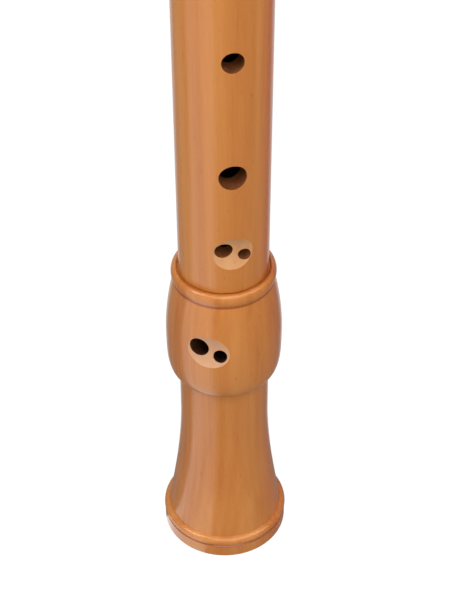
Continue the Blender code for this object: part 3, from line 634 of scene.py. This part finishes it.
def block_outline():
    """Outline of the block from the axis at its lower face to the axis at its top."""
    lower_radius = HEAD_BORE_RADIUS - CLEARANCE
    upper_radius = BORE_TIP_RADIUS - CLEARANCE
    return [
        (0.0, BLOCK_LINE_Z),
        (lower_radius - BLOCK_CHAMFER, BLOCK_LINE_Z),
        (lower_radius, BLOCK_LINE_Z + BLOCK_CHAMFER),
        (upper_radius, TIP_Z),
        (0.0, TIP_Z),
    ]


def new_piece(name, bm, materials):
    """Turn a bmesh into an object with outward faces."""
    bmesh.ops.recalc_face_normals(bm, faces=bm.faces)
    mesh = bpy.data.meshes.new(name)
    bm.to_mesh(mesh)
    bm.free()
    mesh.shade_smooth()
    for material in materials:
        mesh.materials.append(material)
    piece = bpy.data.objects.new(name, mesh)
    bpy.context.scene.collection.objects.link(piece)
    return piece


def soften(bm, width, angle, segments, chosen):
    """Round every edge sharper than an angle whose middle is chosen."""
    edges = []
    for edge in bm.edges:
        if edge.is_manifold and edge.calc_face_angle() > angle:
            if chosen((edge.verts[0].co + edge.verts[1].co) / 2):
                edges.append(edge)
    bmesh.ops.bevel(
        bm, geom=edges, offset=width, offset_type="OFFSET", segments=segments, profile=0.5,
        affect="EDGES", clamp_overlap=True, material=-1,
    )


def turn(name, outline, materials, closed=True, edge=TURNED_EDGE):
    """Turn an outline of radius and height round the bore's axis, as on a lathe."""
    bm = bmesh.new()
    verts = [bm.verts.new((radius, 0.0, z)) for radius, z in outline]
    edges = [bm.edges.new(pair) for pair in zip(verts, verts[1:])]
    if closed:
        edges.append(bm.edges.new((verts[-1], verts[0])))
    bmesh.ops.spin(
        bm, geom=verts + edges, cent=(0, 0, 0), axis=(0, 0, 1), angle=math.tau,
        steps=TURNING_SEGMENTS, use_merge=True,
    )
    bmesh.ops.remove_doubles(bm, verts=bm.verts, dist=MERGE_DISTANCE)
    bmesh.ops.recalc_face_normals(bm, faces=bm.faces)
    soften(bm, edge, CORNER_ANGLE, 2, lambda point: True)
    if len(materials) > 1:
        for face in bm.faces:
            centre = face.calc_center_median()
            if math.hypot(centre.x, centre.y) < BORE_WALL_RADIUS:
                face.material_index = 1
    return new_piece(name, bm, materials)


def carve(piece, cutters):
    """Subtract the cutters from a piece for good."""
    for cutter in cutters:
        boolean = piece.modifiers.new(cutter.name, "BOOLEAN")
        boolean.operation = "DIFFERENCE"
        boolean.solver = "EXACT"
        boolean.material_mode = "TRANSFER"
        boolean.object = cutter
    depsgraph = bpy.context.evaluated_depsgraph_get()
    mesh = bpy.data.meshes.new_from_object(piece.evaluated_get(depsgraph))
    piece.modifiers.clear()
    piece.data = mesh
    mesh.name = piece.name
    for cutter in cutters:
        bpy.data.objects.remove(cutter, do_unlink=True)


def soften_piece(piece, width, angle, chosen):
    """Round the chosen edges of a finished piece."""
    bm = bmesh.new()
    bm.from_mesh(piece.data)
    bmesh.ops.dissolve_degenerate(bm, dist=CRUMB, edges=bm.edges)
    soften(bm, width, angle, 3, chosen)
    bm.to_mesh(piece.data)
    bm.free()


def polish(piece):
    """Shade a piece smooth up to its real edges, led by its large faces."""
    piece.data.shade_smooth()
    piece.data.set_sharp_from_angle(angle=SHARP_ANGLE)
    even = piece.modifiers.new("even_shading", "WEIGHTED_NORMAL")
    even.keep_sharp = True


def drill_bit(name, material, radius, surface_radius, z, azimuth=0.0, slant=0.0):
    """Cutter for one hole, from outside the surface to inside the bore."""
    depth = surface_radius / math.cos(slant)
    bm = bmesh.new()
    bmesh.ops.create_cone(
        bm, cap_ends=True, segments=HOLE_SEGMENTS, radius1=radius, radius2=radius,
        depth=depth + 2 * radius + OVERCUT,
    )
    bmesh.ops.translate(bm, verts=bm.verts, vec=(0, 0, (depth - 2 * radius - OVERCUT) / 2))
    lean = Matrix.Rotation(-math.pi / 2 - slant, 4, "X")
    place = Matrix.Translation((0, -surface_radius, z))
    bmesh.ops.transform(bm, matrix=Matrix.Rotation(azimuth, 4, "Z") @ place @ lean, verts=bm.verts)
    return new_piece(name, bm, [material])


def scoop(name, material, floor_radius, azimuth, z, drum_radius, tilt):
    """Cutter for the finger-tip hollow of a double hole: flat across, concave along the tube."""
    bm = bmesh.new()
    bmesh.ops.create_cone(
        bm, cap_ends=True, segments=RECESS_SEGMENTS, radius1=drum_radius, radius2=drum_radius,
        depth=2 * (floor_radius + drum_radius),
    )
    place = Matrix.Translation((0, -(floor_radius + drum_radius), z))
    turned = Matrix.Rotation(azimuth, 4, "Z") @ place @ Matrix.Rotation(math.pi / 2 + tilt, 4, "Y")
    bmesh.ops.transform(bm, matrix=turned, verts=bm.verts)
    return new_piece(name, bm, [material])


def drill_pair(name, material, floor_radius, azimuth, z, large, small, bridge, slant=0.0):
    """Cutters for a double hole: the large hole, and the small one lower to the right."""
    spread = large + small + bridge
    half_arc = spread * math.cos(PAIR_TILT) / 2 / floor_radius
    half_drop = spread * math.sin(PAIR_TILT) / 2
    left = azimuth - half_arc
    right = azimuth + half_arc
    return [
        drill_bit(name + "_large", material, large, floor_radius, z + half_drop, left, slant),
        drill_bit(name + "_small", material, small, floor_radius, z - half_drop, right, slant),
    ]


def arc_row(radius, half_width, crown_radius=None):
    """Points of an arch across the front of the bore, from -X to +X."""
    crown = crown_radius or radius
    centre_y = crown - radius
    points = []
    for i in range(ARC_SEGMENTS + 1):
        x = lerp(-half_width, half_width, i / ARC_SEGMENTS)
        points.append((x, centre_y - math.sqrt(crown * crown - x * x)))
    return points


def loft(name, stations, material):
    """Skin a closed body over cross-sections, each a height and its outline points."""
    bm = bmesh.new()
    rings = []
    for z, points in stations:
        verts = [bm.verts.new((x, y, z)) for x, y in points]
        rings.append([bm.edges.new((verts[i - 1], verts[i])) for i in range(len(verts))])
    for lower, upper in zip(rings, rings[1:]):
        bmesh.ops.bridge_loops(bm, edges=lower + upper)
    bmesh.ops.contextual_create(bm, geom=rings[0])
    bmesh.ops.contextual_create(bm, geom=rings[-1])
    return new_piece(name, bm, [material])


def windway_section(roof_radius, half_width):
    """Cross-section under the windway's roof, reaching down into the bore."""
    inside = half_width / 2
    return arc_row(roof_radius, half_width) + [(half_width, -inside), (-half_width, -inside)]


def outer_section(floor_radius, half_width, crown_radius=None):
    """Cross-section of everything outside a floor arch, reaching past the head's surface."""
    past = HEAD_RADIUS + HEAD_WALL
    return arc_row(floor_radius, half_width, crown_radius) + [(half_width, -past), (-half_width, -past)]


def windway_cutter(material):
    """Windway roof, broached up through the head, with a chamfer at its exit."""
    exit_radius = HEAD_BORE_RADIUS + WINDWAY_EXIT_HEIGHT
    mouth_radius = BORE_TIP_RADIUS + WINDWAY_MOUTH_HEIGHT
    exit_half = WINDWAY_EXIT_WIDTH / 2
    mouth_half = WINDWAY_MOUTH_WIDTH / 2
    return loft("windway_cutter", [
        (BLOCK_LINE_Z - OVERCUT, windway_section(exit_radius + ROOF_CHAMFER + OVERCUT, exit_half)),
        (BLOCK_LINE_Z + ROOF_CHAMFER, windway_section(exit_radius, exit_half)),
        (TIP_Z + OVERCUT, windway_section(mouth_radius, mouth_half)),
    ], material)


def window_cutter(material):
    """Window through the wall into the bore, between the labium's edge and the block line."""
    half = WINDWAY_EXIT_WIDTH / 2
    section = outer_section(half, half)
    return loft("window_cutter", [(LABIUM_Z, section), (BLOCK_LINE_Z, section)], material)


def ramp_cutter(material):
    """Labium ramp, falling from its thin arched edge out to the head's surface."""
    half = WINDWAY_EXIT_WIDTH / 2
    edge_radius = HEAD_BORE_RADIUS + LABIUM_EDGE
    slope = (HEAD_RADIUS - edge_radius) / RAMP_LENGTH
    section_edge = outer_section(edge_radius, half)
    section_end = outer_section(HEAD_RADIUS + slope * OVERCUT, half, RAMP_CROWN_RADIUS)
    return loft("ramp_cutter", [
        (LABIUM_Z - RAMP_LENGTH - OVERCUT, section_end),
        (LABIUM_Z, section_edge),
        (BLOCK_LINE_Z, section_edge),
    ], material)


def floor_cutter(material):
    """Windway floor planed on the block, with the chamfer that sits at the block line."""
    floor_radius = HEAD_BORE_RADIUS - CLEARANCE - WINDWAY_FLOOR_DEPTH
    mouth_radius = BORE_TIP_RADIUS - CLEARANCE - WINDWAY_FLOOR_DEPTH
    exit_half = WINDWAY_EXIT_WIDTH / 2
    mouth_half = WINDWAY_MOUTH_WIDTH / 2
    return loft("windway_floor_cutter", [
        (BLOCK_LINE_Z - OVERCUT, outer_section(floor_radius - FLOOR_CHAMFER - OVERCUT, exit_half)),
        (BLOCK_LINE_Z + FLOOR_CHAMFER, outer_section(floor_radius, exit_half)),
        (TIP_Z + OVERCUT, outer_section(mouth_radius, mouth_half)),
    ], material)


def beak_cutter(material):
    """Roller that hollows the beak's underside through the back of the head and the block."""
    back_z = TIP_Z - BEAK_LENGTH
    tip_y = BEAK_TIP_THICKNESS - TIP_RADIUS
    chord_y = HEAD_RADIUS - tip_y
    half_chord = math.hypot(chord_y, BEAK_LENGTH) / 2
    lift = math.sqrt(BEAK_CURVE_RADIUS ** 2 - half_chord ** 2) / (2 * half_chord)
    centre_y = (HEAD_RADIUS + tip_y) / 2 + BEAK_LENGTH * lift
    centre_z = (back_z + TIP_Z) / 2 + chord_y * lift
    bm = bmesh.new()
    bmesh.ops.create_cone(
        bm, cap_ends=True, segments=BEAK_SEGMENTS, radius1=BEAK_CURVE_RADIUS,
        radius2=BEAK_CURVE_RADIUS, depth=2 * (HEAD_RADIUS + HEAD_WALL),
    )
    place = Matrix.Translation((0, centre_y, centre_z)) @ Matrix.Rotation(math.pi / 2, 4, "Y")
    bmesh.ops.transform(bm, matrix=place, verts=bm.verts)
    return new_piece("beak_cutter", bm, [material])


def barrel_radius_at(z):
    """Radius of the foot's barrel at height z, for placing cuts on its surface."""
    if z > FOOT_SWELL_Z:
        rim_radius = TUBE_LOWER_RADIUS + RIM_BEAD_PROUD - RIM_GROOVE_DEPTH
        rest = (z - FOOT_SWELL_Z) / FOOT_BARREL_RISE_LENGTH
        return FOOT_BARREL_RADIUS - (FOOT_BARREL_RADIUS - rim_radius) * rest ** BARREL_RISE_POWER
    s = (FOOT_SWELL_Z - z) / FOOT_BARREL_END_LENGTH
    share = max(0.0, 1 - s ** BARREL_END_POWER) ** (1 / BARREL_END_POWER)
    return lerp(NECK_RADIUS, FOOT_BARREL_RADIUS, share)


def tube_radius_at(z):
    """Outer radius of the middle joint at height z above its lower shoulder."""
    return lerp(TUBE_LOWER_RADIUS, TUBE_UPPER_RADIUS, z / MIDDLE_LENGTH)


def make_foot(wood, fresh, bore, drilled):
    """Foot joint, with double hole 7 turned for the little finger."""
    foot = turn("foot_wood", foot_outline(), [wood, bore])
    hole_z = FOOT_SOCKET_FLOOR_Z - HOLE_7_DROP
    hollow_z = hole_z + HOLLOW_7_LIFT
    floor_radius = barrel_radius_at(hollow_z) - HOLLOW_7_DEPTH
    hollow = scoop(
        "hollow_7", fresh, floor_radius, HOLLOW_7_TURN, hollow_z, HOLLOW_7_DRUM_RADIUS, HOLLOW_7_TILT,
    )
    pair = drill_pair(
        "hole_7", drilled, floor_radius, 0.0, hole_z,
        HOLE_7_LARGE_RADIUS, HOLE_7_SMALL_RADIUS, HOLE_7_BRIDGE, HOLE_7_SLANT,
    )
    carve(foot, [hollow, *pair])
    reach = 3 * HOLE_7_LARGE_RADIUS
    soften_piece(foot, HOLE_EDGE, SOFT_ANGLE, lambda point: (
        abs(point.z - hollow_z) < reach and abs(point.x) < reach
        and point.y < -(floor_radius - HOLLOW_7_DEPTH)
    ))
    foot.data.transform(Matrix.Rotation(-FOOT_TURN, 4, "Z"))
    return foot


def make_middle(wood, fresh, bore, drilled):
    """Middle joint with six finger holes and the thumb hole."""
    middle = turn("middle_wood", middle_outline(), [wood, bore])
    single_holes = (
        ("hole_1", MIDDLE_LENGTH - HOLE_1_DROP, HOLE_1_RADIUS, 0.0),
        ("hole_2", MIDDLE_LENGTH - HOLE_2_DROP, HOLE_2_RADIUS, 0.0),
        ("hole_3", MIDDLE_LENGTH - HOLE_3_DROP, HOLE_3_RADIUS, 0.0),
        ("hole_4", HOLE_4_RISE, HOLE_4_RADIUS, 0.0),
        ("hole_5", HOLE_5_RISE, HOLE_5_RADIUS, 0.0),
        ("thumb_hole", MIDDLE_LENGTH - THUMB_HOLE_DROP, THUMB_HOLE_RADIUS, math.pi),
    )
    cutters = []
    for name, rise, radius, azimuth in single_holes:
        cutters.append(drill_bit(name, drilled, radius, tube_radius_at(rise), MIDDLE_Z + rise, azimuth))
    floor_radius = tube_radius_at(HOLE_6_RISE + HOLLOW_6_LIFT) - HOLLOW_6_DEPTH
    cutters.append(scoop(
        "hollow_6", fresh, floor_radius, HOLE_6_TURN + HOLLOW_6_TURN,
        MIDDLE_Z + HOLE_6_RISE + HOLLOW_6_LIFT, HOLLOW_6_DRUM_RADIUS, HOLLOW_6_TILT,
    ))
    cutters += drill_pair(
        "hole_6", drilled, floor_radius, HOLE_6_TURN, MIDDLE_Z + HOLE_6_RISE,
        HOLE_6_LARGE_RADIUS, HOLE_6_SMALL_RADIUS, HOLE_6_BRIDGE,
    )
    carve(middle, cutters)
    low = MIDDLE_Z + 2 * HOLE_EDGE
    high = MIDDLE_TOP_Z - 2 * HOLE_EDGE
    soften_piece(middle, HOLE_EDGE, SOFT_ANGLE, lambda point: (
        low < point.z < high
        and math.hypot(point.x, point.y) > tube_radius_at(point.z - MIDDLE_Z) - 1.6 * HOLLOW_6_DEPTH
    ))
    return middle


def make_head(wood, fresh, bore):
    """Head joint with windway, window, ramp and beak."""
    head = turn("head_wood", head_outline(), [wood, bore])
    carve(head, [windway_cutter(fresh), ramp_cutter(fresh), window_cutter(fresh), beak_cutter(wood)])
    return head


def make_block(material):
    """Cedar block in the head's bore, flush with the beak."""
    block = turn("cedar_block", block_outline(), [material], closed=False)
    carve(block, [floor_cutter(material), beak_cutter(material)])
    return block


def make_camera():
    """Camera at the photograph's place, looking down at the foot."""
    camera = bpy.data.objects.new("camera", bpy.data.cameras.new("camera"))
    bpy.context.scene.collection.objects.link(camera)
    camera.data.lens = CAMERA_LENS
    place = Matrix.Translation((
        CAMERA_DISTANCE * math.sin(CAMERA_SIDE_ANGLE),
        -CAMERA_DISTANCE * math.cos(CAMERA_SIDE_ANGLE),
        CAMERA_HEIGHT,
    ))
    aim = Matrix.Rotation(CAMERA_SIDE_ANGLE + CAMERA_YAW, 4, "Z")
    aim = aim @ Matrix.Rotation(math.pi / 2 - CAMERA_PITCH, 4, "X")
    aim = aim @ Matrix.Rotation(CAMERA_ROLL, 4, "Z")
    camera.matrix_world = place @ aim
    bpy.context.scene.camera = camera


def make_softbox(name, azimuth, elevation, distance, width, height, power):
    """Large soft lamp at an angle from the recorder's front, aimed at the recorder."""
    data = bpy.data.lights.new(name, "AREA")
    data.shape = "RECTANGLE"
    data.size = width
    data.size_y = height
    data.energy = power
    lamp = bpy.data.objects.new(name, data)
    bpy.context.scene.collection.objects.link(lamp)
    side = math.radians(azimuth)
    rise = math.radians(elevation)
    away = Vector((math.sin(side) * math.cos(rise), -math.cos(side) * math.cos(rise), math.sin(rise)))
    lamp.location = Vector(LAMP_TARGET) + away * distance
    lamp.rotation_euler = away.to_track_quat("Z", "Y").to_euler()


def make_floor():
    """Pale floor that keeps the recorder's shadow, and glows in the wood's gloss as a painted reflection,
    brighter in patches at given sides.
    """
    bm = bmesh.new()
    bmesh.ops.create_grid(bm, x_segments=1, y_segments=1, size=FLOOR_SIZE / 2)
    material = bpy.data.materials.new("white_floor")
    material.use_nodes = True
    tree = material.node_tree
    tree.nodes.clear()
    paint = add_node(tree, "ShaderNodeBsdfDiffuse", inputs={"Color": linear(FLOOR_PAINT)})
    rays = add_node(tree, "ShaderNodeLightPath")
    place = add_node(tree, "ShaderNodeTexCoord").outputs["Object"]
    outward = add_node(tree, "ShaderNodeVectorMath", {"operation": "NORMALIZE"}, {0: place}).outputs[0]
    mirrored = MIRRORED_FLOOR
    # each patch is a painted reflection: the floor glows there only to the wood's gloss
    for side, edge_from, edge_to, strength in GLOSS_GLOW_PATCHES:
        facing = add_node(tree, "ShaderNodeVectorMath", {"operation": "DOT_PRODUCT"}, {
            0: outward, 1: (math.sin(side), -math.cos(side), 0.0),
        })
        glow_patch = add_node(tree, "ShaderNodeMapRange", {"interpolation_type": "SMOOTHSTEP"}, {
            "Value": facing.outputs["Value"],
            "From Min": math.cos(edge_from), "From Max": math.cos(edge_to),
            "To Min": 0.0, "To Max": strength,
        })
        mirrored = add_node(tree, "ShaderNodeMath", {"operation": "ADD"}, {
            0: glow_patch.outputs[0], 1: mirrored,
        }).outputs[0]
    strength = add_node(tree, "ShaderNodeMix", {"data_type": "FLOAT"}, {
        0: rays.outputs["Is Camera Ray"], 2: mirrored, 3: SEEN_FLOOR,
    })
    glow = add_node(tree, "ShaderNodeEmission", inputs={
        "Color": linear("#ffffff"), "Strength": strength.outputs[0],
    })
    share = add_node(tree, "ShaderNodeMath", {"operation": "MULTIPLY_ADD"}, {
        0: rays.outputs["Is Camera Ray"], 1: SEEN_SHARE, 2: rays.outputs["Is Glossy Ray"],
    })
    both = add_node(tree, "ShaderNodeMixShader", inputs={
        0: share.outputs[0], 1: paint.outputs[0], 2: glow.outputs[0],
    })
    add_node(tree, "ShaderNodeOutputMaterial", inputs={"Surface": both.outputs[0]})
    floor = new_piece("floor", bm, [material])


def make_surround():
    """White all round that the floor fades into."""
    world = bpy.data.worlds.new("white_surround")
    bpy.context.scene.world = world
    world.use_nodes = True
    tree = world.node_tree
    tree.nodes.clear()
    rays = add_node(tree, "ShaderNodeLightPath")
    mirrored = add_node(tree, "ShaderNodeMath", {"operation": "MULTIPLY"}, {
        0: rays.outputs["Is Glossy Ray"], 1: MIRRORED_SHARE,
    })
    seen = add_node(tree, "ShaderNodeMath", {"operation": "MAXIMUM"}, {
        0: rays.outputs["Is Camera Ray"], 1: mirrored.outputs[0],
    })
    strength = add_node(tree, "ShaderNodeMapRange", inputs={
        "Value": seen.outputs[0], "To Min": AMBIENT_WHITE, "To Max": SEEN_WHITE,
    })
    sky = add_node(tree, "ShaderNodeBackground", inputs={
        "Color": linear("#ffffff"), "Strength": strength.outputs[0],
    })
    add_node(tree, "ShaderNodeOutputWorld", inputs={"Surface": sky.outputs[0]})


def place_piece(piece, body, node):
    """Finish a piece and let it stand for its solid."""
    polish(piece)
    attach(piece, body)
    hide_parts(node)


bpy.context.scene.view_settings.view_transform = "Standard"
bore_material = bore_wood("oiled_and_shaded_bore", BORE_STOPS)
drilled_material = bore_wood("oil_soaked_drillings", DRILLED_STOPS)
slant_material = bore_wood("oiled_and_shaded_slant_drillings", SLANT_STOPS)
middle_pear = pearwood(
    "oiled_pear_middle", MIDDLE_HEART, MIDDLE_LEAN, PEAR_STOPS, (MIDDLE_Z,), side_shade_strength=0.75,
)
foot_pear = pearwood(
    "oiled_pear_foot", FOOT_HEART, FOOT_LEAN, PEAR_STOPS, (END_GROOVE_MIDDLE_Z, FOOT_RIM_Z),
)
head_pear = pearwood("oiled_pear_head", HEAD_HEART, HEAD_LEAN, PEAR_STOPS, (HEAD_CREST_Z,))
fresh_pear = pearwood("cut_pear", MIDDLE_HEART, MIDDLE_LEAN, FRESH_STOPS, oiled=False)
pale_pear = pearwood("cut_pale_pear", FOOT_HEART, FOOT_LEAN, PALE_STOPS, oiled=False)
cork_material = cork()

foot_piece = make_foot(foot_pear, pale_pear, bore_material, slant_material)
place_piece(foot_piece, "foot", "foot_joint")
middle_piece = make_middle(middle_pear, fresh_pear, bore_material, drilled_material)
place_piece(middle_piece, "middle", "middle_joint")
place_piece(make_head(head_pear, fresh_pear, bore_material), "head", "head_joint")
place_piece(make_block(cedar()), "block", "block")
lower_cork_z = MIDDLE_Z - LOWER_TENON_ROOT - CLEARANCE - LOWER_CORK_LENGTH
lower_outline = cork_outline(LOWER_REBATE_RADIUS, lower_cork_z, LOWER_CORK_LENGTH)
lower_ring = turn("lower_lapping", lower_outline, [cork_material])
place_piece(lower_ring, "lower_lapping", "lower_cork")
upper_cork_z = MIDDLE_TOP_Z + UPPER_TENON_ROOT + CLEARANCE
upper_outline = cork_outline(UPPER_REBATE_RADIUS, upper_cork_z, UPPER_CORK_LENGTH)
upper_ring = turn("upper_lapping", upper_outline, [cork_material])
place_piece(upper_ring, "upper_lapping", "upper_cork")

make_floor()
make_surround()
for softbox in SOFTBOXES:
    make_softbox(*softbox)
make_camera()
